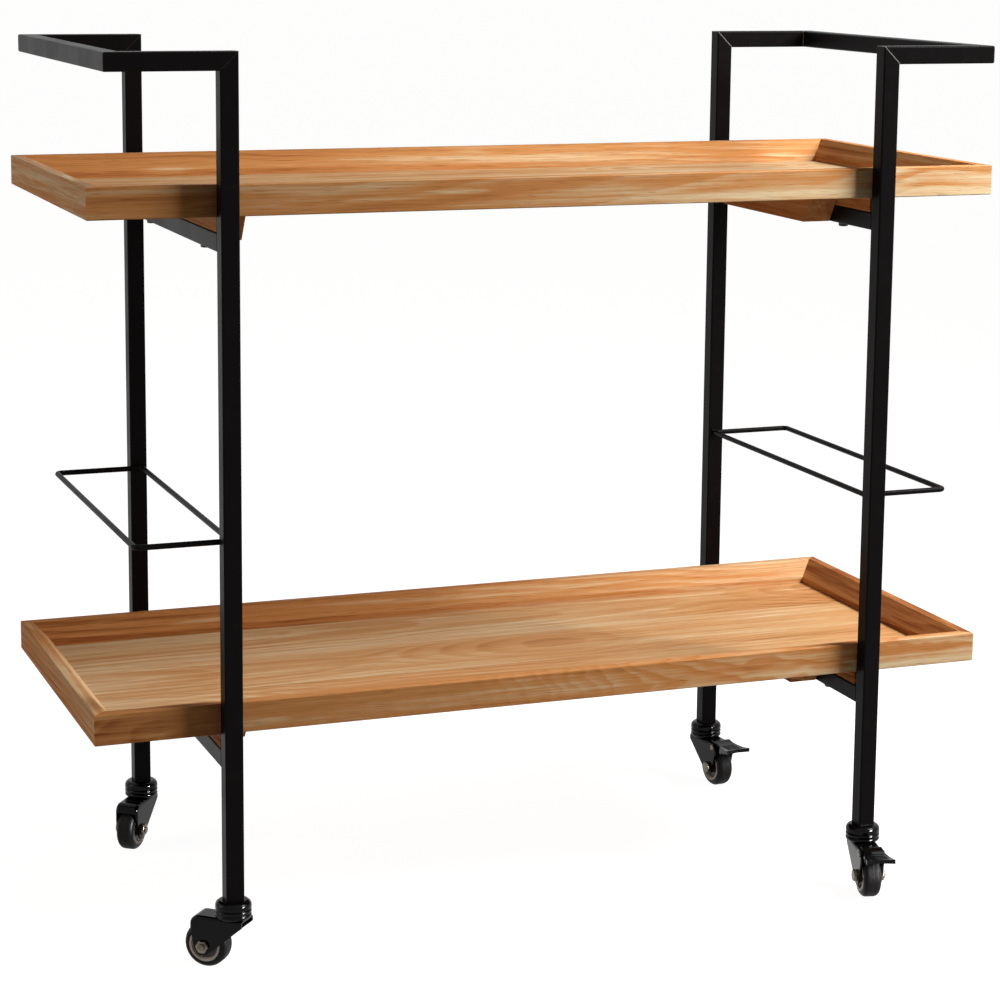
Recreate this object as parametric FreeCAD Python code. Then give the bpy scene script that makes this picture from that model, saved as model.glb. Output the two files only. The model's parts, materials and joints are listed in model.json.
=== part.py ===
import FreeCAD, Part
import math
import os

# Bar cart. Millimetres, +Z up, floor at z = 0, X along the cart, the front is -Y.

# Frame
TUBE = 16.0
TUBE_WALL = 1.2
TUBE_ROUND = 1.5
TUBE_INNER_ROUND = 0.4
FRAME_TOP = 787.0
HANDLE_REACH = 409.0
HANDLE_OVERHANG = 104.5
HANDLE_RISE = 137.0

# Trays
TRAY_LENGTH = 842.0
TRAY_WIDTH = 330.0
TRAY_POST_GAP = 1.0
LOWER_TRAY_Z = 207.0
RIM_HEIGHT = 27.0
RIM_TOP = 10.0
RIM_DEPTH = 24.0
RIM_BEVEL_FOOT = 12.0
RIM_EASE = 0.8
GROOVE_DEPTH = 14.0
GROOVE_HEIGHT = 3.5
FLOOR_THICKNESS = 6.0
FLOOR_GAP = 0.5

# Under the trays
STRIP_HEIGHT = 13.0
STRIP_INSET = 1.0
STRIP_END_GAP = 4.0
CLEAT_WIDTH = 27.0
CLEAT_TOP_HALF = 104.0
CLEAT_FOOT_HALF = 86.0
SCREW_Y = 99.0
SCREW_RADIUS = 2.0
SCREW_HOLE_RADIUS = 2.3
SCREW_HEAD_RADIUS = 4.5
SCREW_HEAD_HEIGHT = 3.6
SCREW_HEAD_EASE = 1.2
SCREW_BITE = 4.0

# Wire racks
WIRE = 5.0
WIRE_BEND = 5.0
RACK_Z = 375.0
RACK_SETBACK = 25.0
RACK_INSET = 3.0

# Casters, drawn with the wheel trailing along +X from the swivel axis
PLUG_HEIGHT = 25.0
STEM_RADIUS = 4.0
STEM_REACH = 22.0
STEM_HEAD_RADIUS = 6.0
STEM_HEAD_HEIGHT = 2.4
DOME_RADIUS = 15.8
DOME_HEIGHT = 14.8
DOME_CROWN = 4.6
DOME_RING_COUNT = 2
DOME_RING_DEPTH = 0.9
DOME_RING_PITCH = 3.6
FORK_SHEET = 1.8
FORK_FRONT = 13.0
FORK_BACK = 13.0
FORK_FRONT_SKIRT = 5.8
FORK_REAR_SKIRT = 10.8
FORK_HOOD_SKIRT = 8.2
FORK_LOBE = 8.0
FORK_BEND = 3.0
FORK_HOOD_ROUND = 8.0
FORK_EAR_ROUND = 4.0
FORK_BRAKE_GAP = 7.5
SWIVEL_CLEARANCE = 0.05
SWIVEL_GAP = 0.4
TRAIL = 24.0
WHEEL_RADIUS = 20.0
WHEEL_WIDTH = 17.0
WHEEL_CLEARANCE = 5.0
TREAD_ROUND = 5.0
HUB_RADIUS = 14.5
HUB_RING = 2.1
HUB_RECESS = 2.2
BOSS_RADIUS = 6.6
BOSS_STAND = 0.8
BOSS_CLEARANCE = 0.4
AXLE_RADIUS = 3.0
AXLE_CLEARANCE = 0.05
AXLE_HEAD_FLATS = 10.0
AXLE_HEAD_HEIGHT = 3.2
AXLE_HEAD_EASE = 0.9
AXLE_TAIL = 1.2
PIN_BACK = 8.5
PIN_DROP = 1.8
PIN_RADIUS = 1.8
PIN_CLEARANCE = 0.05
PIN_HEAD_RADIUS = 2.8
PIN_HEAD_HEIGHT = 1.2
PIN_HEAD_EASE = 0.9
PEDAL_SIDE_GAP = 0.4
PEDAL_HUB_RADIUS = 3.2
PEDAL_CAM_REACH = 4.0
PEDAL_CAM_WIDTH = 3.0
PEDAL_CAM_LEAD = 20.0
PEDAL_SHEET = 1.8
PEDAL_KNUCKLE = 6.4
PEDAL_KNUCKLE_START = 150.0
PEDAL_KNUCKLE_END = 68.0
PEDAL_WAIST = 13.0
PEDAL_WAIST_TOP = 3.6
PEDAL_TIP_TOP = 3.4
PEDAL_TIP_DEPTH = 4.0
PEDAL_STEP = 1.8
PEDAL_STEP_COUNT = 2
PEDAL_STEP_PITCH = 8.5
PEDAL_NECK = 8.0
PEDAL_LENGTH = 33.5
PEDAL_TIP_WIDTH = 27.0
PEDAL_NOTCH = 3.0
PEDAL_LIFT = 4.0

# Swivel angle of each caster in the rest pose, degrees from +X
SWIVEL_FRONT_LEFT = 139.0
SWIVEL_REAR_LEFT = 233.0
SWIVEL_FRONT_RIGHT = 257.0
SWIVEL_REAR_RIGHT = 276.0

# Worked out from the above
HALF_TUBE = TUBE / 2
TUBE_INSIDE = TUBE - 2 * TUBE_WALL
HALF_LENGTH = TRAY_LENGTH / 2
HALF_WIDTH = TRAY_WIDTH / 2
UPPER_TRAY_Z = FRAME_TOP - HANDLE_RISE
POST_X = HANDLE_REACH - HANDLE_OVERHANG
POST_Y = HALF_WIDTH + TRAY_POST_GAP + HALF_TUBE
POST_X_IN = POST_X - HALF_TUBE
POST_X_OUT = POST_X + HALF_TUBE
POST_Y_IN = POST_Y - HALF_TUBE
POST_Y_OUT = POST_Y + HALF_TUBE
ARM_FOOT = FRAME_TOP - TUBE
HANDLE_INNER = HANDLE_REACH - TUBE
STRIP_WIDTH = TUBE - 2 * STRIP_INSET
RACK_REACH = HANDLE_REACH - RACK_SETBACK
RACK_INNER_X = POST_X - RACK_INSET
BOSS_WIDTH = WHEEL_WIDTH + 2 * BOSS_STAND
HUB_RING_INNER = HUB_RADIUS - HUB_RING
FORK_INSIDE = BOSS_WIDTH + 2 * BOSS_CLEARANCE
FORK_WIDTH = FORK_INSIDE + 2 * FORK_SHEET
FORK_UNDER = 2 * WHEEL_RADIUS + WHEEL_CLEARANCE
FORK_TOP = FORK_UNDER + FORK_SHEET
FORK_REAR = TRAIL + FORK_BACK
FORK_FRONT_FOOT = FORK_TOP - FORK_FRONT_SKIRT
FORK_REAR_FOOT = FORK_TOP - FORK_REAR_SKIRT
FORK_HOOD_FOOT = FORK_TOP - FORK_HOOD_SKIRT
DOME_FOOT = FORK_TOP + SWIVEL_GAP
POST_FOOT = DOME_FOOT + DOME_HEIGHT
DOME_SHOULDER = POST_FOOT - DOME_CROWN
STEM_HEAD_TOP = FORK_UNDER - SWIVEL_GAP
STEM_HEAD_FOOT = STEM_HEAD_TOP - STEM_HEAD_HEIGHT
STEM_TOP = POST_FOOT + STEM_REACH
PIN_X = TRAIL + PIN_BACK
PIN_Z = FORK_UNDER - PIN_DROP
PEDAL_WIDTH = FORK_INSIDE - 2 * PEDAL_SIDE_GAP
FORK_BRAKE_OPEN = PIN_X - FORK_BRAKE_GAP
FAR = 2 * TRAY_LENGTH

X_AXIS = FreeCAD.Vector(1, 0, 0)
Y_AXIS = FreeCAD.Vector(0, 1, 0)
Z_AXIS = FreeCAD.Vector(0, 0, 1)
ORIGIN = FreeCAD.Vector(0, 0, 0)


def vec(x, y, z):
    return FreeCAD.Vector(x, y, z)


def block(x0, x1, y0, y1, z0, z1):
    return Part.makeBox(x1 - x0, y1 - y0, z1 - z0, vec(x0, y0, z0))


def prism(points, direction):
    """Extrudes a closed outline."""
    wire = Part.makePolygon(list(points) + [points[0]])
    return Part.Face(wire).extrude(direction)


def plan_prism(outline, z0, z1):
    """Extrudes an outline of (x, y) pairs from z0 up to z1."""
    return prism([vec(x, y, z0) for x, y in outline], Z_AXIS * (z1 - z0))


def side_prism(outline, y0, y1):
    """Extrudes an outline of (x, z) pairs from y0 to y1."""
    return prism([vec(x, y0, z) for x, z in outline], Y_AXIS * (y1 - y0))


def drawn(start, runs):
    """A face in the X-Z plane: each run is the end of a line, or the middle and the end of an arc."""
    edges = []
    at = start
    for run in runs:
        points = [vec(x, 0, z) for x, z in (at,) + run]
        edges.append(Part.makeLine(*points) if len(run) == 1 else Part.Arc(*points).toShape())
        at = run[-1]
    return Part.Face(Part.Wire(edges))


def turned(profile):
    """Turns an outline of (radius, z) pairs about the upright axis through the origin."""
    points = [vec(r, 0, z) for r, z in profile]
    wire = Part.makePolygon(points + [points[0]])
    return Part.Face(wire).revolve(ORIGIN, Z_AXIS, 360)


def rounded_block(x0, x1, y0, y1, z0, z1, axis, radius):
    """A block whose four edges along one axis are rounded."""
    solid = block(x0, x1, y0, y1, z0, z1)
    edges = [e for e in solid.Edges if abs(e.tangentAt(e.FirstParameter).dot(axis)) > 1 - 1e-6]
    return solid.makeFillet(radius, edges)


def tube(x0, x1, y0, y1, z0, z1, axis):
    """A square tube along one axis, open at both ends."""
    wall = [0 if axis[i] else TUBE_WALL for i in range(3)]
    outer = rounded_block(x0, x1, y0, y1, z0, z1, axis, TUBE_ROUND)
    inner = rounded_block(x0 + wall[0], x1 - wall[0], y0 + wall[1], y1 - wall[1],
                          z0 + wall[2], z1 - wall[2], axis, TUBE_INNER_ROUND)
    return outer.cut(inner)


def across(shape):
    """The same piece on the other side, left for right."""
    return shape.mirror(ORIGIN, X_AXIS)


def behind(shape):
    """The same piece at the rear instead of the front."""
    return shape.mirror(ORIGIN, Y_AXIS)


def raised(shape, z):
    moved = shape.copy()
    moved.translate(vec(0, 0, z))
    return moved


def upright(x, y, radius, z0, z1):
    return Part.makeCylinder(radius, z1 - z0, vec(x, y, z0), Z_AXIS)


def crosswise(x, z, radius, y0, y1):
    return Part.makeCylinder(radius, y1 - y0, vec(x, y0, z), Y_AXIS)


def hexagon(x, z, flats, y0, y1):
    """A hexagonal prism along Y, given its width across flats."""
    reach = flats / math.sqrt(3)
    angles = [math.radians(60 * i) for i in range(6)]
    return side_prism([(x + reach * math.cos(a), z + reach * math.sin(a)) for a in angles], y0, y1)


def post():
    """The front right post, mitred at the top towards its arm."""
    solid = tube(POST_X_IN, POST_X_OUT, -POST_Y_OUT, -POST_Y_IN, POST_FOOT, FRAME_TOP, Z_AXIS)
    keep = [(POST_X_IN, POST_FOOT), (POST_X_OUT, POST_FOOT), (POST_X_OUT, ARM_FOOT), (POST_X_IN, FRAME_TOP)]
    return solid.common(side_prism(keep, -POST_Y_OUT, -POST_Y_IN))


def arm():
    """The front right arm, mitred to its post and to the handle bar."""
    solid = tube(POST_X_IN, HANDLE_REACH, -POST_Y_OUT, -POST_Y_IN, ARM_FOOT, FRAME_TOP, X_AXIS)
    side = [(POST_X_OUT, ARM_FOOT), (HANDLE_REACH, ARM_FOOT), (HANDLE_REACH, FRAME_TOP),
            (POST_X_IN, FRAME_TOP)]
    plan = [(POST_X_IN, -POST_Y_OUT), (HANDLE_REACH, -POST_Y_OUT), (HANDLE_INNER, -POST_Y_IN),
            (POST_X_IN, -POST_Y_IN)]
    solid = solid.common(side_prism(side, -POST_Y_OUT, -POST_Y_IN))
    return solid.common(plan_prism(plan, ARM_FOOT, FRAME_TOP))


def handle_bar():
    """The right handle bar, mitred at both ends."""
    solid = tube(HANDLE_INNER, HANDLE_REACH, -POST_Y_OUT, POST_Y_OUT, ARM_FOOT, FRAME_TOP, Y_AXIS)
    plan = [(HANDLE_REACH, -POST_Y_OUT), (HANDLE_REACH, POST_Y_OUT), (HANDLE_INNER, POST_Y_IN),
            (HANDLE_INNER, -POST_Y_IN)]
    return solid.common(plan_prism(plan, ARM_FOOT, FRAME_TOP))


def rail(tray_z):
    """The right rail under a tray, drilled for its two screws."""
    top = tray_z - STRIP_HEIGHT
    solid = tube(POST_X_IN, POST_X_OUT, -POST_Y_IN, POST_Y_IN, top - TUBE, top, Y_AXIS)
    for y in (-SCREW_Y, SCREW_Y):
        solid = solid.cut(upright(POST_X, y, SCREW_HOLE_RADIUS, top - TUBE, top))
    return solid


def strip(tray_z):
    """The right spacer strip between a rail and the tray."""
    half = POST_Y_IN - STRIP_END_GAP
    half_width = STRIP_WIDTH / 2
    solid = block(POST_X - half_width, POST_X + half_width, -half, half, tray_z - STRIP_HEIGHT, tray_z)
    for y in (-SCREW_Y, SCREW_Y):
        solid = solid.cut(upright(POST_X, y, SCREW_RADIUS, tray_z - STRIP_HEIGHT, tray_z))
    return solid


def cleat(tray_z):
    """The right cleat along the inner side of a rail, with slanted ends."""
    foot = tray_z - STRIP_HEIGHT - TUBE
    outline = [(-CLEAT_TOP_HALF, tray_z), (CLEAT_TOP_HALF, tray_z), (CLEAT_FOOT_HALF, foot),
               (-CLEAT_FOOT_HALF, foot)]
    inner = POST_X_IN - CLEAT_WIDTH
    return prism([vec(inner, y, z) for y, z in outline], X_AXIS * CLEAT_WIDTH)


def screws(tray_z):
    """The four screws of a tray."""
    seat = tray_z - STRIP_HEIGHT - TUBE
    solids = []
    for x in (-POST_X, POST_X):
        for y in (-SCREW_Y, SCREW_Y):
            head = upright(x, y, SCREW_HEAD_RADIUS, seat - SCREW_HEAD_HEIGHT, seat)
            low = [e for e in head.Edges if e.BoundBox.ZMax < seat - SCREW_HEAD_EASE and e.Closed]
            head = head.makeFillet(SCREW_HEAD_EASE, low)
            shank = upright(x, y, SCREW_RADIUS, seat, tray_z + SCREW_BITE)
            solids.append(head.fuse(shank).removeSplitter())
    return Part.makeCompound(solids)


def rim_profile():
    """The section of a rim as (distance in from the outer face, height) pairs."""
    return [(RIM_EASE, 0), (0, RIM_EASE), (0, RIM_HEIGHT - RIM_EASE), (RIM_EASE, RIM_HEIGHT),
            (RIM_TOP, RIM_HEIGHT), (RIM_DEPTH, RIM_BEVEL_FOOT), (RIM_DEPTH, GROOVE_HEIGHT),
            (GROOVE_DEPTH, GROOVE_HEIGHT), (GROOVE_DEPTH, 0)]


def long_rim(tray_z):
    """The front rim, mitred at both ends."""
    section = [vec(-HALF_LENGTH, -HALF_WIDTH + u, h) for u, h in rim_profile()]
    solid = prism(section, X_AXIS * TRAY_LENGTH)
    inner_x = HALF_LENGTH - RIM_DEPTH
    inner_y = -HALF_WIDTH + RIM_DEPTH
    plan = [(-HALF_LENGTH, -HALF_WIDTH), (HALF_LENGTH, -HALF_WIDTH), (inner_x, inner_y),
            (-inner_x, inner_y)]
    return raised(solid.common(plan_prism(plan, 0, RIM_HEIGHT)), tray_z)


def short_rim(tray_z):
    """The right rim, mitred at both ends."""
    section = [vec(HALF_LENGTH - u, -HALF_WIDTH, h) for u, h in rim_profile()]
    solid = prism(section, Y_AXIS * TRAY_WIDTH)
    inner_x = HALF_LENGTH - RIM_DEPTH
    inner_y = HALF_WIDTH - RIM_DEPTH
    plan = [(HALF_LENGTH, -HALF_WIDTH), (HALF_LENGTH, HALF_WIDTH), (inner_x, inner_y),
            (inner_x, -inner_y)]
    return raised(solid.common(plan_prism(plan, 0, RIM_HEIGHT)), tray_z)


def floor_panel(tray_z):
    """A tray floor with a thin tongue that lies in the rims' rebate."""
    tongue_x = HALF_LENGTH - GROOVE_DEPTH
    tongue_y = HALF_WIDTH - GROOVE_DEPTH
    face_x = HALF_LENGTH - RIM_DEPTH - FLOOR_GAP
    face_y = HALF_WIDTH - RIM_DEPTH - FLOOR_GAP
    tongue = block(-tongue_x, tongue_x, -tongue_y, tongue_y, 0, GROOVE_HEIGHT)
    face = block(-face_x, face_x, -face_y, face_y, GROOVE_HEIGHT, FLOOR_THICKNESS)
    solid = tongue.fuse(face).removeSplitter()
    for x in (-POST_X, POST_X):
        for y in (-SCREW_Y, SCREW_Y):
            solid = solid.cut(upright(x, y, SCREW_RADIUS, 0, SCREW_BITE))
    return raised(solid, tray_z)


def rack():
    """The right rack: one closed loop of wire against the inner faces of its posts."""
    side_y = POST_Y_IN - WIRE / 2
    x0, x1, r = RACK_INNER_X, RACK_REACH, WIRE_BEND
    cut = r * (1 - math.sqrt(0.5))
    corners = [(x0, -side_y, 1, 1), (x1, -side_y, -1, 1), (x1, side_y, -1, -1), (x0, side_y, 1, -1)]
    starts, mids, ends = [], [], []
    for x, y, sx, sy in corners:
        along_x = vec(x + sx * r, y, RACK_Z)
        along_y = vec(x, y + sy * r, RACK_Z)
        first = sx == sy
        starts.append(along_y if first else along_x)
        ends.append(along_x if first else along_y)
        mids.append(vec(x + sx * cut, y + sy * cut, RACK_Z))
    edges = []
    for i in range(len(corners)):
        edges.append(Part.Arc(starts[i], mids[i], ends[i]).toShape())
        edges.append(Part.makeLine(ends[i], starts[(i + 1) % len(corners)]))
    section = Part.Wire(Part.makeCircle(WIRE / 2, starts[0], edges[0].tangentAt(edges[0].FirstParameter)))
    return Part.Wire(edges).makePipeShell([section], True, True)


def plug():
    """The threaded plug in the foot of a post, on the swivel axis."""
    half = TUBE_INSIDE / 2
    top = POST_FOOT + PLUG_HEIGHT
    solid = rounded_block(-half, half, -half, half, POST_FOOT, top, Z_AXIS, TUBE_INNER_ROUND)
    return solid.cut(upright(0, 0, STEM_RADIUS, POST_FOOT, STEM_TOP))


def stem():
    head = upright(0, 0, STEM_HEAD_RADIUS, STEM_HEAD_FOOT, STEM_HEAD_TOP)
    return head.fuse(upright(0, 0, STEM_RADIUS, STEM_HEAD_TOP, STEM_TOP)).removeSplitter()


def dome():
    """The swivel cup under a post: round rings below a crown with a round shoulder."""
    groove = DOME_RADIUS - DOME_RING_DEPTH
    runs = [((groove, DOME_FOOT),)]
    for i in range(DOME_RING_COUNT):
        z = DOME_FOOT + i * DOME_RING_PITCH
        runs.append(((DOME_RADIUS, z + DOME_RING_PITCH / 2), (groove, z + DOME_RING_PITCH)))
    crown_foot = DOME_FOOT + DOME_RING_COUNT * DOME_RING_PITCH
    crown_top = DOME_RADIUS - DOME_CROWN
    slant = DOME_CROWN * math.sqrt(0.5)
    runs += [((DOME_RADIUS, crown_foot + DOME_RING_DEPTH),), ((DOME_RADIUS, DOME_SHOULDER),),
             ((crown_top + slant, DOME_SHOULDER + slant), (crown_top, POST_FOOT)),
             ((STEM_RADIUS, POST_FOOT),), ((STEM_RADIUS, DOME_FOOT),)]
    return drawn((STEM_RADIUS, DOME_FOOT), runs).revolve(ORIGIN, Z_AXIS, 360)


def tangent(x, z, side):
    """Where a line from (x, z) touches the lobe round the axle."""
    dx, dz = TRAIL - x, WHEEL_RADIUS - z
    away = math.hypot(dx, dz)
    turn = math.atan2(dz, dx) + side * math.asin(FORK_LOBE / away)
    run = math.sqrt(away ** 2 - FORK_LOBE ** 2)
    return x + run * math.cos(turn), z + run * math.sin(turn)


def leg_outline():
    """The side view of a fork as (x, z) pairs, without the lobe round the axle."""
    front = tangent(-FORK_FRONT, FORK_FRONT_FOOT, -1)
    rear = tangent(FORK_REAR, FORK_REAR_FOOT, 1)
    return [(-FORK_FRONT, FORK_TOP), (FORK_REAR, FORK_TOP), (FORK_REAR, FORK_REAR_FOOT), rear,
            (TRAIL, WHEEL_RADIUS), front, (-FORK_FRONT, FORK_FRONT_FOOT)]


def hood(rear, half, top, radius, bend):
    """A long block under a height, its rear top edge rounded and its long edges bent."""
    solid = block(-FAR, rear, -half, half, 0, top)
    corner = [e for e in solid.Edges
              if e.CenterOfMass.x > rear - bend and e.CenterOfMass.z > top - bend
              and abs(e.CenterOfMass.y) < half - bend]
    solid = solid.makeFillet(radius, corner)
    bends = [e for e in solid.Edges
             if abs(e.CenterOfMass.y) > half - bend and e.CenterOfMass.x > -FAR + bend
             and e.CenterOfMass.z > bend]
    return solid.makeFillet(bend, bends)


def ears():
    """The flat ends of a braked fork's legs, which carry the pedal's pin."""
    half = FORK_WIDTH / 2
    inside = FORK_INSIDE / 2
    solid = side_prism(leg_outline(), -half, half)
    corner = [e for e in solid.Edges
              if e.CenterOfMass.x > FORK_REAR - FORK_SHEET and e.CenterOfMass.z > FORK_UNDER
              and abs(e.CenterOfMass.y) < inside]
    solid = solid.makeFillet(FORK_EAR_ROUND, corner)
    solid = solid.fuse(crosswise(TRAIL, WHEEL_RADIUS, FORK_LOBE, -half, half))
    solid = solid.cut(block(-FAR, FAR, -inside, inside, 0, FAR))
    return solid.cut(block(-FAR, FORK_BRAKE_OPEN, -half, half, 0, FAR))


def fork(braked):
    """A stamped fork: two legs, a bent top and a round rear hood, the hood left open for a brake pedal."""
    half = FORK_WIDTH / 2
    inside = FORK_INSIDE / 2
    shell = side_prism(leg_outline(), -half, half)
    shell = shell.fuse(crosswise(TRAIL, WHEEL_RADIUS, FORK_LOBE, -half, half)).removeSplitter()
    shell = shell.common(hood(FORK_REAR, half, FORK_TOP, FORK_HOOD_ROUND, FORK_BEND))
    shell = shell.cut(hood(FORK_REAR - FORK_SHEET, inside, FORK_UNDER, FORK_HOOD_ROUND - FORK_SHEET,
                           FORK_BEND - FORK_SHEET))
    shell = shell.cut(block(-FAR, FAR, -inside, inside, 0, FORK_HOOD_FOOT))
    if braked:
        shell = shell.cut(block(FORK_BRAKE_OPEN, FAR, -half, half, 0, FAR))
        shell = shell.fuse(ears()).removeSplitter()
        shell = shell.cut(crosswise(PIN_X, PIN_Z, PIN_RADIUS, -half, half))
    shell = shell.cut(upright(0, 0, STEM_RADIUS + SWIVEL_CLEARANCE, FORK_UNDER, FORK_TOP))
    return shell.cut(crosswise(TRAIL, WHEEL_RADIUS, AXLE_RADIUS, -half, half))


def axle_head(y0, y1):
    """A hexagon on the axle with its corners eased on both faces."""
    solid = hexagon(TRAIL, WHEEL_RADIUS, AXLE_HEAD_FLATS, y0, y1)
    limit = crosswise(TRAIL, WHEEL_RADIUS, AXLE_HEAD_FLATS / math.sqrt(3), y0, y1)
    limit = limit.makeChamfer(AXLE_HEAD_EASE, [e for e in limit.Edges if e.Closed])
    return solid.common(limit)


def axle():
    """The axle bolt and its nut."""
    half = FORK_WIDTH / 2
    nut_face = half + AXLE_HEAD_HEIGHT
    shank = crosswise(TRAIL, WHEEL_RADIUS, AXLE_RADIUS, -half, nut_face + AXLE_TAIL)
    bolt = axle_head(-nut_face, -half).fuse(shank).removeSplitter()
    nut = axle_head(half, nut_face)
    nut = nut.cut(crosswise(TRAIL, WHEEL_RADIUS, AXLE_RADIUS, half, nut_face))
    return Part.makeCompound([bolt, nut])


def hub():
    """A wheel hub with a raised ring on each face and a boss on the axle."""
    half = WHEEL_WIDTH / 2
    boss = BOSS_WIDTH / 2
    floor = half - HUB_RECESS
    bore = AXLE_RADIUS + AXLE_CLEARANCE
    profile = [(bore, -boss), (BOSS_RADIUS, -boss), (BOSS_RADIUS, -floor), (HUB_RING_INNER, -floor),
               (HUB_RING_INNER, -half), (HUB_RADIUS, -half), (HUB_RADIUS, half), (HUB_RING_INNER, half),
               (HUB_RING_INNER, floor), (BOSS_RADIUS, floor), (BOSS_RADIUS, boss), (bore, boss)]
    solid = turned(profile)
    solid.rotate(ORIGIN, X_AXIS, 90)
    solid.translate(vec(TRAIL, 0, WHEEL_RADIUS))
    return solid


def tyre():
    half = WHEEL_WIDTH / 2
    solid = crosswise(TRAIL, WHEEL_RADIUS, WHEEL_RADIUS, -half, half)
    rims = [e for e in solid.Edges if e.Closed and not e.isSeam(solid.Faces[0])]
    solid = solid.makeFillet(TREAD_ROUND, rims)
    return solid.cut(crosswise(TRAIL, WHEEL_RADIUS, HUB_RADIUS, -half, half))


def knuckle(angle):
    """A point on the round root of a pedal, from the pin."""
    turn = math.radians(angle)
    return PEDAL_KNUCKLE * math.cos(turn), PEDAL_KNUCKLE * math.sin(turn)


def pedal_side():
    """The side view of a pedal from its pin: a round root, a hollow tread and a stepped foot."""
    foot = PEDAL_TIP_TOP - PEDAL_TIP_DEPTH
    runs = [(knuckle((PEDAL_KNUCKLE_START + PEDAL_KNUCKLE_END) / 2), knuckle(PEDAL_KNUCKLE_END)),
            ((PEDAL_WAIST, PEDAL_WAIST_TOP), (PEDAL_LENGTH, PEDAL_TIP_TOP)), ((PEDAL_LENGTH, foot),)]
    for i in range(PEDAL_STEP_COUNT):
        x = PEDAL_LENGTH - (i + 1) * PEDAL_STEP_PITCH
        runs += [((x, foot - i * PEDAL_STEP),), ((x, foot - (i + 1) * PEDAL_STEP),)]
    runs += [((PEDAL_NECK, foot - PEDAL_STEP_COUNT * PEDAL_STEP),), ((0, -PEDAL_HUB_RADIUS),),
             ((-PEDAL_HUB_RADIUS, 0),), (knuckle(PEDAL_KNUCKLE_START),)]
    return drawn(knuckle(PEDAL_KNUCKLE_START), runs)


def pedal_pocket():
    """The side view of the pocket under a pedal's tread, from its pin."""
    x, z = knuckle(PEDAL_KNUCKLE_END)
    end = PEDAL_LENGTH - PEDAL_SHEET
    runs = [((x, z - PEDAL_SHEET),),
            ((PEDAL_WAIST, PEDAL_WAIST_TOP - PEDAL_SHEET), (end, PEDAL_TIP_TOP - PEDAL_SHEET)),
            ((end, -PEDAL_KNUCKLE),), ((x, -PEDAL_KNUCKLE),)]
    return drawn((x, -PEDAL_KNUCKLE), runs)


def pedal_plan(inset):
    """The fishtail plan of a pedal from its pin, drawn in by an inset."""
    half = PEDAL_WIDTH / 2 - inset
    tip = PEDAL_TIP_WIDTH / 2 - inset
    end = PEDAL_LENGTH - inset
    outline = [(-PEDAL_KNUCKLE, -half), (PEDAL_NECK, -half), (end, -tip), (end - PEDAL_NOTCH, 0),
               (end, tip), (PEDAL_NECK, half), (-PEDAL_KNUCKLE, half)]
    return plan_prism(outline, -PEDAL_KNUCKLE, PEDAL_KNUCKLE)


def widened(face):
    """Extrudes a side view across the full width of a pedal."""
    solid = face.extrude(Y_AXIS * PEDAL_TIP_WIDTH)
    solid.translate(Y_AXIS * (-PEDAL_TIP_WIDTH / 2))
    return solid


def pedal():
    """The brake pedal: a hub on the pin, a cam over the tyre and a flanged fishtail tread."""
    half = PEDAL_WIDTH / 2
    tread = widened(pedal_side()).common(pedal_plan(0))
    tread = tread.cut(widened(pedal_pocket()).common(pedal_plan(PEDAL_SHEET)))
    cam = block(-PEDAL_CAM_REACH, 0, -half, half, -PEDAL_CAM_WIDTH / 2, PEDAL_CAM_WIDTH / 2)
    to_wheel = math.degrees(math.atan2(PIN_Z - WHEEL_RADIUS, PIN_X - TRAIL))
    cam.rotate(ORIGIN, Y_AXIS, -to_wheel - PEDAL_CAM_LEAD)
    solid = tread.fuse([crosswise(0, 0, PEDAL_HUB_RADIUS, -half, half), cam]).removeSplitter()
    solid = solid.cut(crosswise(0, 0, PIN_RADIUS + PIN_CLEARANCE, -half, half))
    solid.rotate(ORIGIN, Y_AXIS, -PEDAL_LIFT)
    solid.translate(vec(PIN_X, 0, PIN_Z))
    return solid


def pin():
    """The cross pin of a brake pedal, riveted over at both ends."""
    half = FORK_WIDTH / 2
    face = half + PIN_HEAD_HEIGHT
    heads = []
    for y0, y1 in ((-face, -half), (half, face)):
        head = crosswise(PIN_X, PIN_Z, PIN_HEAD_RADIUS, y0, y1)
        rim = [e for e in head.Edges if e.Closed and abs(e.CenterOfMass.y) > half + PIN_HEAD_EASE]
        heads.append(head.makeFillet(PIN_HEAD_EASE, rim))
    return crosswise(PIN_X, PIN_Z, PIN_RADIUS, -half, half).fuse(heads).removeSplitter()


def placed(shape, x, y, angle):
    """Turns a caster piece to its swivel angle and moves it under its post."""
    moved = shape.copy()
    moved.rotate(ORIGIN, Z_AXIS, angle)
    moved.translate(vec(x, y, 0))
    return moved


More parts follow.
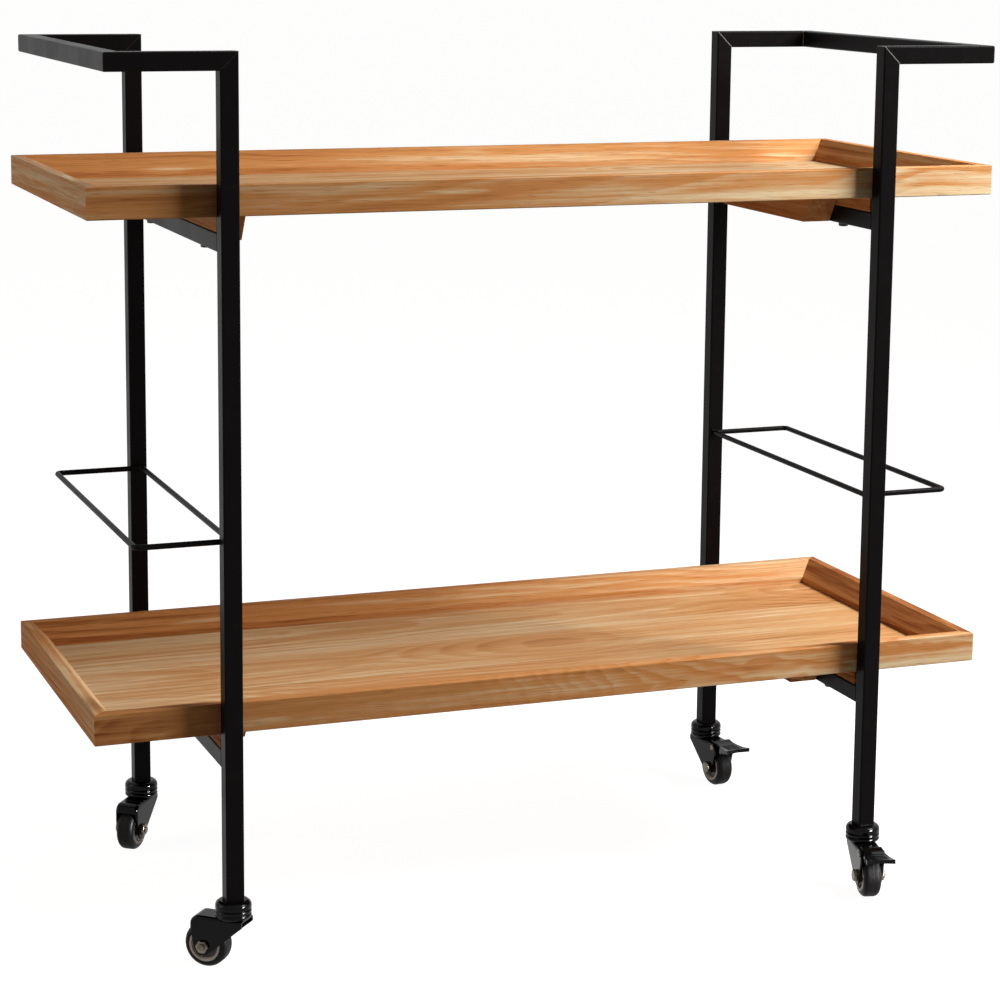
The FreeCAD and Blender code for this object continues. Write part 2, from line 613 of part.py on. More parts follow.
def build():
    """Every piece of the cart, by node name."""
    nodes = {}
    for name, piece in (("post", post()), ("arm", arm())):
        nodes[name + "_front_right"] = piece
        nodes[name + "_front_left"] = across(piece)
        nodes[name + "_rear_right"] = behind(piece)
        nodes[name + "_rear_left"] = behind(across(piece))
    for name, piece in (("handle_bar", handle_bar()), ("rack", rack())):
        nodes[name + "_right"] = piece
        nodes[name + "_left"] = across(piece)
    for level, tray_z in (("upper", UPPER_TRAY_Z), ("lower", LOWER_TRAY_Z)):
        for name, piece in (("rail", rail(tray_z)), ("strip", strip(tray_z)),
                            ("cleat", cleat(tray_z)), ("rim", short_rim(tray_z))):
            nodes[name + "_" + level + "_right"] = piece
            nodes[name + "_" + level + "_left"] = across(piece)
        nodes["rim_" + level + "_front"] = long_rim(tray_z)
        nodes["rim_" + level + "_rear"] = behind(long_rim(tray_z))
        nodes["floor_" + level] = floor_panel(tray_z)
        nodes["screws_" + level] = screws(tray_z)

    corners = (("front_left", -POST_X, -POST_Y, SWIVEL_FRONT_LEFT, False),
               ("rear_left", -POST_X, POST_Y, SWIVEL_REAR_LEFT, False),
               ("front_right", POST_X, -POST_Y, SWIVEL_FRONT_RIGHT, True),
               ("rear_right", POST_X, POST_Y, SWIVEL_REAR_RIGHT, True))
    plugs, stems, domes = [], [], []
    for corner, x, y, angle, braked in corners:
        plugs.append(placed(plug(), x, y, 0))
        stems.append(placed(stem(), x, y, 0))
        domes.append(placed(dome(), x, y, 0))
        pieces = [("fork", fork(braked)), ("axle", axle()), ("hub", hub()), ("tyre", tyre())]
        if braked:
            pieces += [("pedal", pedal()), ("pin", pin())]
        for name, piece in pieces:
            nodes[name + "_" + corner] = placed(piece, x, y, angle)
    nodes["post_plugs"] = Part.makeCompound(plugs)
    nodes["caster_stems"] = Part.makeCompound(stems)
    nodes["caster_domes"] = Part.makeCompound(domes)
    return nodes


os.makedirs("parts", exist_ok=True)
for node, shape in build().items():
    shape.exportStep("parts/" + node + ".step")
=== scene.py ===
"""Dresses the bar cart: two timber trays in a black square-tube frame on four swivel casters."""

import json
import logging
import math
from dataclasses import dataclass
from enum import Enum
from typing import Sequence, Union

import bmesh
import bpy
from mathutils import Matrix, Vector


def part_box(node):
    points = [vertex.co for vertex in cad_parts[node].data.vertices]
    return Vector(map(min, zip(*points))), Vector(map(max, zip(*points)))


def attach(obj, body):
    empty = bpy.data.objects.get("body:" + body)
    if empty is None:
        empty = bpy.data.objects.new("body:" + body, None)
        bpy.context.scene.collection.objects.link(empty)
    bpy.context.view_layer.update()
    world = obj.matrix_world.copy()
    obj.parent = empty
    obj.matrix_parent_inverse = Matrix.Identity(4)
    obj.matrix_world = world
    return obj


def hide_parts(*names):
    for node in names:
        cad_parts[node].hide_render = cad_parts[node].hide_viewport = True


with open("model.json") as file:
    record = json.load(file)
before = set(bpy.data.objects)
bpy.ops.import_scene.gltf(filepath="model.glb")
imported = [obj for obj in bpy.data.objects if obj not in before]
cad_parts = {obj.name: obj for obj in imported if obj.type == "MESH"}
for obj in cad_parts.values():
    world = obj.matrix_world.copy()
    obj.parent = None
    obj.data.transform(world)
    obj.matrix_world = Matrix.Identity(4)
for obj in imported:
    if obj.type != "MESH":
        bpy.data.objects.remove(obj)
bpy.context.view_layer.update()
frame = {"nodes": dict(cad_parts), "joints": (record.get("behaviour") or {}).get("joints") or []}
LOG = logging.getLogger("bar_cart")

Socket = bpy.types.NodeSocket
Outputs = bpy.types.NodeOutputs
Material = bpy.types.Material
Shape = bmesh.types.BMesh
Edges = list[bmesh.types.BMEdge]
Pair = tuple[float, float]
Triple = tuple[float, float, float]
Span = tuple[float, float, float, float]
Colour = tuple[float, float, float, float]
Feed = Union[Socket, float, Triple, Colour]

WHITE: Colour = (1.0, 1.0, 1.0, 1.0)
SHARP_ANGLE = math.radians(38)


class Side(Enum):
    """The two ends of the cart, with the sign of their X."""

    LEFT = -1
    RIGHT = 1

    @property
    def word(self) -> str:
        """The side as it stands in a node's name."""
        return self.name.lower()


class Level(Enum):
    """The two trays."""

    UPPER = "upper"
    LOWER = "lower"


class Corner(Enum):
    """The four casters."""

    FRONT_LEFT = "front_left"
    REAR_LEFT = "rear_left"
    FRONT_RIGHT = "front_right"
    REAR_RIGHT = "rear_right"

    @property
    def braked(self) -> bool:
        """Whether this caster carries a brake pedal."""
        return self in (Corner.FRONT_RIGHT, Corner.REAR_RIGHT)

    @property
    def nodes(self) -> list[str]:
        """The nodes of this caster that turn about its stem."""
        pieces = ("fork", "axle", "hub", "tyre") + (("pedal", "pin") if self.braked else ())
        return [f"{piece}_{self.value}" for piece in pieces]


class Grain(Enum):
    """Which way the fibres of a board run, as a turn about Z in degrees."""

    ALONG_X = 0.0
    ALONG_Y = 90.0


def srgb(red: int, green: int, blue: int) -> Colour:
    """Turns a colour as a screen shows it into linear light.

    Args:
        red: Red from 0 to 255.
        green: Green from 0 to 255.
        blue: Blue from 0 to 255.

    Returns:
        The linear colour with full alpha.
    """

    def linear(level: int) -> float:
        """One channel in linear light."""
        share = level / 255
        return share / 12.92 if share <= 0.04045 else ((share + 0.055) / 1.055) ** 2.4

    return (linear(red), linear(green), linear(blue), 1.0)


@dataclass(frozen=True)
class Layer:
    """One layer of noise: its scale by axis, its octaves and the weight of the finer ones."""

    scale: Feed
    detail: float = 2.0
    roughness: float = 0.5


class Graph:
    """Writes nodes and links into one shader node tree."""

    def __init__(self, tree: bpy.types.NodeTree) -> None:
        """Keeps the tree to write into."""
        self.tree = tree

    def feed(self, socket: Socket, value: Feed) -> None:
        """Links a socket to another, or sets its constant.

        Args:
            socket: The input to feed.
            value: An output socket or a constant.
        """
        if isinstance(value, Socket):
            self.tree.links.new(value, socket)
        else:
            socket.default_value = value

    def add(self, kind: str, feeds: Union[dict, None] = None, **settings: object) -> Outputs:
        """Adds a node.

        Args:
            kind: The node's type name.
            feeds: What its inputs get, by name or number.
            **settings: Properties to set on it first.

        Returns:
            The new node's outputs.
        """
        node = self.tree.nodes.new(kind)
        for name, value in settings.items():
            setattr(node, name, value)
        for key, value in (feeds or {}).items():
            self.feed(node.inputs[key], value)
        return node.outputs

    def math(self, operation: str, first: Feed, second: Feed = 0.0, third: Feed = 0.0) -> Socket:
        """Does sums on numbers, with a Math node's operation."""
        return self.add("ShaderNodeMath", {0: first, 1: second, 2: third}, operation=operation)[0]

    def vector(self, operation: str, first: Feed, second: Feed) -> Socket:
        """Does sums on vectors, with a Vector Math node's operation."""
        return self.add("ShaderNodeVectorMath", {0: first, 1: second}, operation=operation)[0]

    def split(self, vector: Feed) -> tuple[Socket, ...]:
        """Takes a vector apart into X, Y and Z."""
        return tuple(self.add("ShaderNodeSeparateXYZ", {0: vector}))

    def join(self, x: Feed, y: Feed, z: Feed) -> Socket:
        """Makes a vector of three numbers."""
        return self.add("ShaderNodeCombineXYZ", {0: x, 1: y, 2: z})[0]

    def length(self, first: Feed, second: Feed) -> Socket:
        """The length of the vector (first, second)."""
        squares = self.math("MULTIPLY_ADD", second, second, self.math("MULTIPLY", first, first))
        return self.math("SQRT", squares)

    def sway(self, layer: Feed, reach: Feed, base: Feed) -> Socket:
        """Adds a layer of noise to a number, half of its reach to either side."""
        return self.math("MULTIPLY_ADD", self.math("SUBTRACT", layer, 0.5), reach, base)

    def remap(self, value: Feed, low: float, high: float,
              to_low: float = 0.0, to_high: float = 1.0) -> Socket:
        """Maps the range from low to high smoothly onto another and holds the ends."""
        feeds = dict(enumerate((value, low, high, to_low, to_high)))
        return self.add("ShaderNodeMapRange", feeds, interpolation_type="SMOOTHSTEP")[0]

    def noise(self, place: Feed, layer: Layer, seed: Feed = 0.0) -> Outputs:
        """The value and the colour of a layer of noise at a place. The seed picks another field."""
        feeds = {"Vector": self.vector("MULTIPLY", place, layer.scale), "W": seed, "Scale": 1.0,
                 "Detail": layer.detail, "Roughness": layer.roughness}
        return self.add("ShaderNodeTexNoise", feeds, noise_dimensions="4D")

    def mix(self, share: Feed, first: Feed, second: Feed, blend: str = "MIX") -> Socket:
        """Mixes a share of the second colour into the first."""
        feeds = {0: share, 6: first, 7: second}
        return self.add("ShaderNodeMix", feeds, data_type="RGBA", blend_type=blend)[2]

    def bump(self, height: Feed, distance: float, strength: float = 1.0) -> Socket:
        """Turns a height into a normal, where a height of 1 measures the distance in metres."""
        feeds = {"Height": height, "Distance": distance, "Strength": strength}
        return self.add("ShaderNodeBump", feeds)[0]

    def place(self, centre: Sequence[float] = (0.0, 0.0, 0.0), turn: float = 0.0) -> Socket:
        """The point on the surface in a piece's own axes.

        Args:
            centre: Where the piece's origin lies, in metres.
            turn: How far its X axis is turned about Z, in radians.

        Returns:
            The mapped Object coordinates.
        """
        surface = self.add("ShaderNodeTexCoord")["Object"]
        feeds = {"Location": tuple(centre), "Rotation": (0.0, 0.0, turn), "Vector": surface}
        return self.add("ShaderNodeMapping", feeds, vector_type="TEXTURE")[0]


def sockets(kind: str, *names: str) -> tuple[tuple[str, str], ...]:
    """Names the sockets of one kind on a node group."""
    return tuple((name, kind) for name in names)


class Effect:
    """A shader node group, built the first time that a material asks for it."""

    name = ""
    inputs: tuple[tuple[str, str], ...] = ()
    outputs: tuple[tuple[str, str], ...] = ()

    def wire(self, graph: Graph, given: Outputs) -> dict[str, Socket]:
        """Writes the group's nodes.

        Args:
            graph: The group's own tree.
            given: The group's inputs.

        Returns:
            What each of the group's outputs gets.
        """
        raise NotImplementedError

    def tree(self) -> bpy.types.NodeTree:
        """Finds the group, or builds it.

        Returns:
            The node tree that every material shares.
        """
        found = bpy.data.node_groups.get(self.name)
        if found is not None:
            return found
        tree = bpy.data.node_groups.new(self.name, "ShaderNodeTree")
        for direction, named in (("INPUT", self.inputs), ("OUTPUT", self.outputs)):
            for name, kind in named:
                tree.interface.new_socket(name=name, in_out=direction,
                                          socket_type=f"NodeSocket{kind}")
        graph = Graph(tree)
        graph.add("NodeGroupOutput", self.wire(graph, graph.add("NodeGroupInput")))
        return tree

    def put(self, graph: Graph, values: dict[str, Feed]) -> Outputs:
        """Places the group in a material, with what each of its inputs gets there."""
        return graph.add("ShaderNodeGroup", values, node_tree=self.tree())


class TimberGrain(Effect):
    """Growth rings round a wandering heart line, streaks, fibres and pores of an oiled board, with
    painted glints.
    """

    name = "timber_grain"
    inputs = (sockets("Vector", "Vector")
              + sockets("Float", "Seed", "Heart Y", "Heart Z", "Shade", "Taper", "Drift", "Swell X",
                        "Swell Reach", "Swell Rise", "Ring Width", "Ripple", "Contrast")
              + sockets("Color", "Light", "Middle", "Dark", "Blush"))
    outputs = sockets("Color", "Color") + sockets("Float", "Roughness", "Height")

    wander = Layer((1.9, 7.0, 7.0), 1.5)
    wander_reach: Triple = (0.0, 0.03, 0.03)
    bow = Layer((5.0, 4.0, 4.0), 1.0)
    bow_reach: float = 0.022
    ripple = Layer((15.0, 42.0, 42.0))
    years = Layer((95.0, 0.0, 0.0), 1.0)
    years_reach: float = 0.011
    late_rise: Pair = (0.08, 0.82)
    late_fall: Pair = (1.0, 0.84)
    patch = Layer((2.4, 16.0, 16.0))
    patch_range: Span = (0.38, 0.62, 0.1, 1.0)

    streak = Layer((2.6, 150.0, 150.0), 3.0, 0.6)
    streak_weight: float = 0.85
    fibre = Layer((14.0, 700.0, 700.0), 2.0, 0.6)
    fibre_weight: float = 0.5
    broad = Layer((1.7, 14.0, 14.0))
    broad_weight: float = 0.75
    # Painted highlight: small pale flecks stand in for the chatoyant sheen of the fibres.
    chatoyance_glint = Layer((10.0, 120.0, 120.0), 1.0)
    fleck_range: Pair = (0.62, 0.74)
    fleck_weight: float = -0.22
    pore = Layer((45.0, 1500.0, 1500.0), 1.0)
    pore_range: Pair = (0.58, 0.7)
    pore_tone: float = 0.4
    blush = Layer((2.2, 11.0, 11.0))
    blush_range: Pair = (0.4, 0.68)
    middle_range: Pair = (0.0, 0.5)
    dark_range: Pair = (0.45, 1.0)

    roughness: float = 0.42
    late_roughness: float = 0.08
    fibre_roughness: float = 0.22
    fibre_height: float = 0.6
    late_height: float = -0.05
    pore_height: float = -0.5

    def rings(self, graph: Graph, given: Outputs) -> tuple[Socket, Socket]:
        """Writes the growth rings.

        Args:
            graph: The group's own tree.
            given: The group's inputs.

        Returns:
            The place along the board, and the mask of the dark late wood.
        """
        place, seed = given["Vector"], given["Seed"]
        wander = graph.vector("SUBTRACT", graph.noise(place, self.wander, seed)[1], (0.5, 0.5, 0.5))
        wander = graph.vector("MULTIPLY", wander, self.wander_reach)
        x, y, z = graph.split(graph.vector("ADD", place, wander))
        radius = graph.length(graph.math("SUBTRACT", y, given["Heart Y"]),
                              graph.math("SUBTRACT", z, given["Heart Z"]))
        radius = graph.math("MULTIPLY_ADD", x, given["Taper"], radius)
        away = graph.math("ABSOLUTE", graph.math("SUBTRACT", x, given["Swell X"]))
        swell = graph.remap(graph.math("DIVIDE", away, given["Swell Reach"]), 0.0, 1.0)
        radius = graph.math("MULTIPLY_ADD", swell, given["Swell Rise"], radius)
        for layer, reach in ((self.bow, self.bow_reach), (self.ripple, given["Ripple"])):
            radius = graph.sway(graph.noise(place, layer, seed)[0], reach, radius)
        years = graph.noise(graph.join(radius, 0.0, 0.0), self.years, seed)[0]
        radius = graph.math("MULTIPLY_ADD", years, self.years_reach, radius)
        phase = graph.math("FRACT", graph.math("DIVIDE", radius, given["Ring Width"]))
        late = graph.math("MULTIPLY", graph.remap(phase, *self.late_rise),
                          graph.remap(phase, *self.late_fall))
        patch = graph.remap(graph.noise(place, self.patch, seed)[0], *self.patch_range)
        return x, graph.math("MULTIPLY", late, patch)

    def wire(self, graph: Graph, given: Outputs) -> dict[str, Socket]:
        """Writes the rings, streaks, fibres and pores, and the painted glints.

        Args:
            graph: The group's own tree.
            given: The group's inputs.

        Returns:
            Colour, roughness and height.
        """
        layers = (self.streak, self.fibre, self.broad, self.chatoyance_glint, self.pore, self.blush)
        streak, fibre, broad, chatoyance_glint, pores, blush = (
            graph.noise(given["Vector"], layer, given["Seed"])[0] for layer in layers)
        pores = graph.remap(pores, *self.pore_range)
        x, late = self.rings(graph, given)

        # Painted shade, partly the board's own tone: the shade changes along the board, darker away
        # from the key lamp.
        shade = graph.math("MULTIPLY_ADD", x, given["Drift"], given["Shade"])
        shade = graph.math("MULTIPLY_ADD", late, given["Contrast"], shade)
        for layer, weight in ((streak, self.streak_weight), (fibre, self.fibre_weight),
                              (broad, self.broad_weight)):
            shade = graph.sway(layer, weight, shade)
        # Painted highlight: the pale flecks lighten the shade.
        chatoyance_glint = graph.remap(chatoyance_glint, *self.fleck_range)
        shade = graph.math("MULTIPLY_ADD", chatoyance_glint, self.fleck_weight, shade)
        colour = graph.mix(graph.remap(shade, *self.middle_range), given["Light"], given["Middle"])
        colour = graph.mix(graph.remap(shade, *self.dark_range), colour, given["Dark"])
        blush = graph.remap(blush, *self.blush_range)
        colour = graph.mix(blush, colour, given["Blush"], "MULTIPLY")
        colour = graph.mix(graph.math("MULTIPLY", pores, self.pore_tone), colour, given["Dark"])

        roughness = graph.math("MULTIPLY_ADD", late, self.late_roughness, self.roughness)
        roughness = graph.math("MULTIPLY_ADD", fibre, self.fibre_roughness, roughness)
        height = graph.math("MULTIPLY", fibre, self.fibre_height)
        for mask, rise in ((late, self.late_height), (pores, self.pore_height)):
            height = graph.math("MULTIPLY_ADD", mask, rise, height)
        return {"Color": colour, "Roughness": roughness, "Height": height}


class StaveLayout(Effect):
    """Splits a glued-up panel into staves along X, each cut from another log."""

    name = "stave_layout"
    inputs = sockets("Vector", "Vector") + sockets("Float", "Seed", "Stave Width", "Joint Width")
    outputs = sockets("Float", "Index", "Seed", "Heart Y", "Heart Z", "Shade", "Joint")

    seed_spread: float = 60.0
    heart_spread: float = 0.4
    heart_depth: float = -0.04
    shade_spread: float = 0.2
    joint_edge: Pair = (1.0, 0.2)

    def wire(self, graph: Graph, given: Outputs) -> dict[str, Socket]:
        """Writes the count of staves and what each one draws by lot.

        Args:
            graph: The group's own tree.
            given: The group's inputs.

        Returns:
            The stave's number, seed, heart line and shade, and the mask of its joints.
        """
        _, y, _ = graph.split(given["Vector"])
        width = given["Stave Width"]
        count = graph.math("ADD", graph.math("DIVIDE", y, width), 0.5)
        index = graph.math("FLOOR", count)
        ticket = graph.math("ADD", index, given["Seed"])
        lot = graph.add("ShaderNodeTexWhiteNoise", {"W": ticket}, noise_dimensions="1D")
        first, second, third = graph.split(lot["Color"])
        spread = graph.math("MULTIPLY", width, self.heart_spread)
        within = graph.math("MULTIPLY", graph.math("PINGPONG", count, 0.5), width)
        joint = graph.remap(graph.math("DIVIDE", within, given["Joint Width"]), *self.joint_edge)
        return {"Index": index,
                "Seed": graph.math("MULTIPLY_ADD", lot["Value"], self.seed_spread, given["Seed"]),
                "Heart Y": graph.sway(first, spread, graph.math("MULTIPLY", index, width)),
                "Heart Z": graph.math("MULTIPLY_ADD", second, self.heart_depth, self.heart_depth),
                "Shade": graph.math("MULTIPLY", third, self.shade_spread),
                "Joint": joint}


class CoatTexture(Effect):
    """The fine orange peel and faint handling marks of a sprayed coat; on the zinc plate the same
    patches are a painted dim reflection.
    """

    name = "coat_texture"
    inputs = (sockets("Vector", "Vector") + sockets("Color", "Base", "Rubbed")
              + sockets("Float", "Peel Scale", "Smooth", "Dull"))
    outputs = sockets("Color", "Color") + sockets("Float", "Roughness", "Height")

    smear = Layer((17.0, 17.0, 17.0), 4.0, 0.6)
    smear_range: Pair = (0.35, 0.68)
    rub = Layer((60.0, 60.0, 60.0), 5.0, 0.65)
    rub_range: Pair = (0.48, 0.8)

    def wire(self, graph: Graph, given: Outputs) -> dict[str, Socket]:
        """Writes the peel, the smears and the patches of rubbing, which on the zinc plate are a
        painted dim reflection.

        Args:
            graph: The group's own tree.
            given: The group's inputs.

        Returns:
            Colour, roughness and height.
        """
        place, fine = given["Vector"], given["Peel Scale"]
        peel = graph.noise(place, Layer(graph.join(fine, fine, fine)))[0]
        dull = graph.remap(graph.noise(place, self.smear)[0], *self.smear_range)
        rub = graph.remap(graph.noise(place, self.rub)[0], *self.rub_range)
        span = graph.math("SUBTRACT", given["Dull"], given["Smooth"])
        return {"Color": graph.mix(rub, given["Base"], given["Rubbed"]),
                "Roughness": graph.math("MULTIPLY_ADD", dull, span, given["Smooth"]),
                "Height": peel}


class WeldSeams(Effect):
    """The dressed weld lines across the frame's mitres, with their ridge and a painted highlight
    that fade towards the left, away from the key lamp.
    """

    name = "weld_seams"
    inputs = (sockets("Vector", "Vector")
              + sockets("Float", "Post Mitre", "Handle Mitre", "Arm Foot", "Width"))
    outputs = sockets("Float", "Mask")

    wave = Layer((420.0, 420.0, 420.0))
    edge: Pair = (1.0, 0.25)
    left_to_right: Span = (-0.2, 0.2, 0.08, 1.0)

    def wire(self, graph: Graph, given: Outputs) -> dict[str, Socket]:
        """Writes the distance to the two mitre planes, the same at every corner.

        Args:
            graph: The group's own tree.
            given: The group's inputs.

        Returns:
            The mask of the seams.
        """
        side, y, z = graph.split(given["Vector"])
        x, y = graph.math("ABSOLUTE", side), graph.math("ABSOLUTE", y)
        wave = graph.noise(given["Vector"], self.wave)[0]
        masks = []
        for across, plane in ((graph.math("ADD", x, z), given["Post Mitre"]),
                              (graph.math("SUBTRACT", x, y), given["Handle Mitre"])):
            away = graph.sway(wave, given["Width"], graph.math("SUBTRACT", across, plane))
            away = graph.math("DIVIDE", graph.math("ABSOLUTE", away), given["Width"])
            masks.append(graph.remap(away, *self.edge))
        # Painted highlight: the seams show plainly only towards the right, where the key lamp
        # lights them.
        shown = graph.math("MULTIPLY", graph.remap(side, *self.left_to_right),
                           graph.math("GREATER_THAN", z, given["Arm Foot"]))
        return {"Mask": graph.math("MULTIPLY", graph.math("MAXIMUM", *masks), shown)}


class WheelFace(Effect):
    """Rings about a wheel's axle, which lies along Y."""

    name = "wheel_face"
    inputs = sockets("Vector", "Vector") + sockets("Float", "Ring Inner", "Ring Outer", "Edge")
    outputs = sockets("Float", "Ring", "Across", "Mottle")

    mottle = Layer((700.0, 700.0, 700.0), 4.0, 0.6)
    edge: Pair = (-0.5, 0.5)

    def wire(self, graph: Graph, given: Outputs) -> dict[str, Socket]:
        """Writes the distance from the axle and the mask of one ring.

        Args:
            graph: The group's own tree.
            given: The group's inputs.

        Returns:
            The ring's mask, the distance from the wheel's middle and a mottle.
        """
        x, y, z = graph.split(given["Vector"])
        radius = graph.length(x, z)
        inside = graph.math("SUBTRACT", radius, given["Ring Inner"])
        outside = graph.math("SUBTRACT", given["Ring Outer"], radius)
        edges = [graph.remap(graph.math("DIVIDE", away, given["Edge"]), *self.edge)
                 for away in (inside, outside)]
        return {"Ring": graph.math("MULTIPLY", *edges), "Across": graph.math("ABSOLUTE", y),
                "Mottle": graph.noise(given["Vector"], self.mottle)[0]}


class Skin:
    """A material with one Principled shader, and the graph that feeds it."""

    def __init__(self, name: str, **constants: float) -> None:
        """Starts the material.

        Args:
            name: The material's name.
            **constants: Shader sockets that are the same all over, with underscores for spaces.
        """
        self.material = bpy.data.materials.new(name)
        self.material.use_nodes = True
        self.graph = Graph(self.material.node_tree)
        self.shader = self.material.node_tree.nodes["Principled BSDF"]
        for socket, value in constants.items():
            self.graph.feed(self.shader.inputs[socket.replace("_", " ")], value)

    def cover(self, colour: Feed, roughness: Feed, normal: Feed) -> Material:
        """Feeds the shader with what changes over the surface.

        Args:
            colour: The colour.
            roughness: The roughness.
            normal: The bent normal.

        Returns:
            The finished material.
        """
        feeds = {"Base Color": colour, "Roughness": roughness, "Normal": normal}
        for socket, value in feeds.items():
            self.graph.feed(self.shader.inputs[socket], value)
        return self.material


@dataclass(frozen=True)
class Board:
    """How one board was cut: which log, where its heart line ran, how dark it came out, and how
    much painted shade drifts along it.
    """

    seed: float
    heart: Pair = (0.0, -0.05)
    shade: float = 0.36
    taper: float = 0.02
    # The drift along X is partly the board's own tone and partly painted shade: darker at the end
    # away from the key lamp at the right, and on the lower floor darker at the right, under the key
    # lamp's spill.
    drift: float = 0.0
    swell: Triple = (0.0, 1.0, 0.0)
    ring_width: float = 0.0066
    ripple: float = 0.004
    contrast: float = 0.26

    def values(self) -> dict[str, Feed]:
        """The board as inputs of the timber's grain.

        Returns:
            What each input gets.
        """
        return {"Seed": self.seed, "Heart Y": self.heart[0], "Heart Z": self.heart[1],
                "Shade": self.shade, "Taper": self.taper, "Drift": self.drift,
                "Swell X": self.swell[0], "Swell Reach": self.swell[1], "Swell Rise": self.swell[2],
                "Ring Width": self.ring_width, "Ripple": self.ripple, "Contrast": self.contrast}


@dataclass(frozen=True)
class Timber:
    """Oiled honey-brown hardwood."""

    light: Colour = srgb(227, 203, 162)
    middle: Colour = srgb(204, 141, 84)
    dark: Colour = srgb(138, 74, 38)
    blush: Colour = srgb(253, 245, 238)
    relief: float = 0.00022
    stave_width: float = 0.108
    stave_step: float = 0.43
    joint_width: float = 0.0007
    joint_tone: float = 0.45
    board_specular: float = 0.02
    panel_specular: float = 0.03

    def grain(self, graph: Graph, place: Socket, values: dict[str, Feed]) -> Outputs:
        """Puts this timber's grain into a material, with a board's values."""
        tones = {"Light": self.light, "Middle": self.middle, "Dark": self.dark, "Blush": self.blush}
        return TimberGrain().put(graph, {"Vector": place, **values, **tones})

    def board(self, name: str, grain: Grain, centre: Sequence[float], board: Board) -> Material:
        """The finish of one solid board.

        Args:
            name: The piece's name.
            grain: Which way the fibres run.
            centre: The middle of the board, in metres.
            board: How it was cut.

        Returns:
            The material.
        """
        skin = Skin(f"timber_{name}", Specular_IOR_Level=self.board_specular)
        graph = skin.graph
        grown = self.grain(graph, graph.place(centre, math.radians(grain.value)), board.values())
        normal = graph.bump(grown["Height"], self.relief)
        return skin.cover(grown["Color"], grown["Roughness"], normal)

    def panel(self, name: str, centre: Sequence[float], board: Board) -> Material:
        """The finish of a panel glued up from staves.

        Args:
            name: The piece's name.
            centre: The middle of the middle stave, in metres.
            board: How the staves were cut, apart from what each one draws by lot.

        Returns:
            The material.
        """
        skin = Skin(f"timber_{name}", Specular_IOR_Level=self.panel_specular)
        graph = skin.graph
        place = graph.place(centre)
        stave = StaveLayout().put(graph, {
            "Vector": place, "Seed": board.seed, "Stave Width": self.stave_width,
            "Joint Width": self.joint_width})
        swell = graph.math("MULTIPLY_ADD", stave["Index"], self.stave_step, board.swell[0])
        grown = self.grain(graph, place, {
            **board.values(), "Seed": stave["Seed"], "Heart Y": stave["Heart Y"],
            "Heart Z": stave["Heart Z"], "Swell X": swell,
            "Shade": graph.math("ADD", stave["Shade"], board.shade)})
        joint = graph.math("MULTIPLY", stave["Joint"], self.joint_tone)
        height = graph.math("SUBTRACT", grown["Height"], stave["Joint"])
        return skin.cover(graph.mix(joint, grown["Color"], self.dark), grown["Roughness"],
                          graph.bump(height, self.relief))


@dataclass(frozen=True)
class Coat:
    """A sprayed, moulded or plated finish."""

    name: str
    base: Colour
    # The patch colour is rubbed wear on the coats, and on the zinc plate a painted dim reflection.
    rubbed: Colour
    smooth: float
    dull: float
    specular: float = 0.5
    metallic: float = 0.0
    peel_scale: float = 700.0
    relief: float = 0.00006

    def texture(self, skin: Skin) -> Outputs:
        """Puts the coat's texture into a material.

        Args:
            skin: The material.

        Returns:
            The coat's colour, roughness and height.
        """
        return CoatTexture().put(skin.graph, {
            "Vector": skin.graph.place(), "Base": self.base, "Rubbed": self.rubbed,
            "Peel Scale": self.peel_scale, "Smooth": self.smooth, "Dull": self.dull})

    def skin(self) -> Skin:
        """Starts the coat's material."""
        return Skin(self.name, Specular_IOR_Level=self.specular, Metallic=self.metallic)

    def material(self) -> Material:
        """The coat all over a piece.

        Returns:
            The material.
        """
        skin = self.skin()
        coat = self.texture(skin)
        normal = skin.graph.bump(coat["Height"], self.relief)
        return skin.cover(coat["Color"], coat["Roughness"], normal)


@dataclass(frozen=True)
class PowderCoat(Coat):
    """Satin black powder coat on the frame, with dressed welds at the mitres and a painted pale
    highlight along them.
    """

    name: str = "powder_coat"
    base: Colour = srgb(13, 10, 10)
    rubbed: Colour = srgb(21, 18, 18)
    smooth: float = 0.37
    dull: float = 0.43
    specular: float = 0.04
    peel_scale: float = 900.0
    relief: float = 0.00009
    # The pale grey along the seams is a painted highlight.
    seam: Colour = srgb(112, 108, 105)
    seam_width: float = 0.0011
    seam_height: float = 4.0

    def welded(self, post_mitre: float, handle_mitre: float, arm_foot: float) -> Material:
        """The coat over the frame's welded mitres, with the painted highlight along the seams.

        Args:
            post_mitre: |x| + z on the mitre of a post, in metres.
            handle_mitre: |x| - |y| on the mitre of a handle bar, in metres.
            arm_foot: The height above which the mitres lie, in metres.

        Returns:
            The material.
        """
        skin = self.skin()
        graph = skin.graph
        coat = self.texture(skin)
        seams = WeldSeams().put(graph, {
            "Vector": graph.place(), "Post Mitre": post_mitre, "Handle Mitre": handle_mitre,
            "Arm Foot": arm_foot, "Width": self.seam_width})
        height = graph.math("MULTIPLY_ADD", seams["Mask"], self.seam_height, coat["Height"])
        # Painted highlight: pale grey mixed into the coat along the seams.
        return skin.cover(graph.mix(seams["Mask"], coat["Color"], self.seam), coat["Roughness"],
                          graph.bump(height, self.relief))


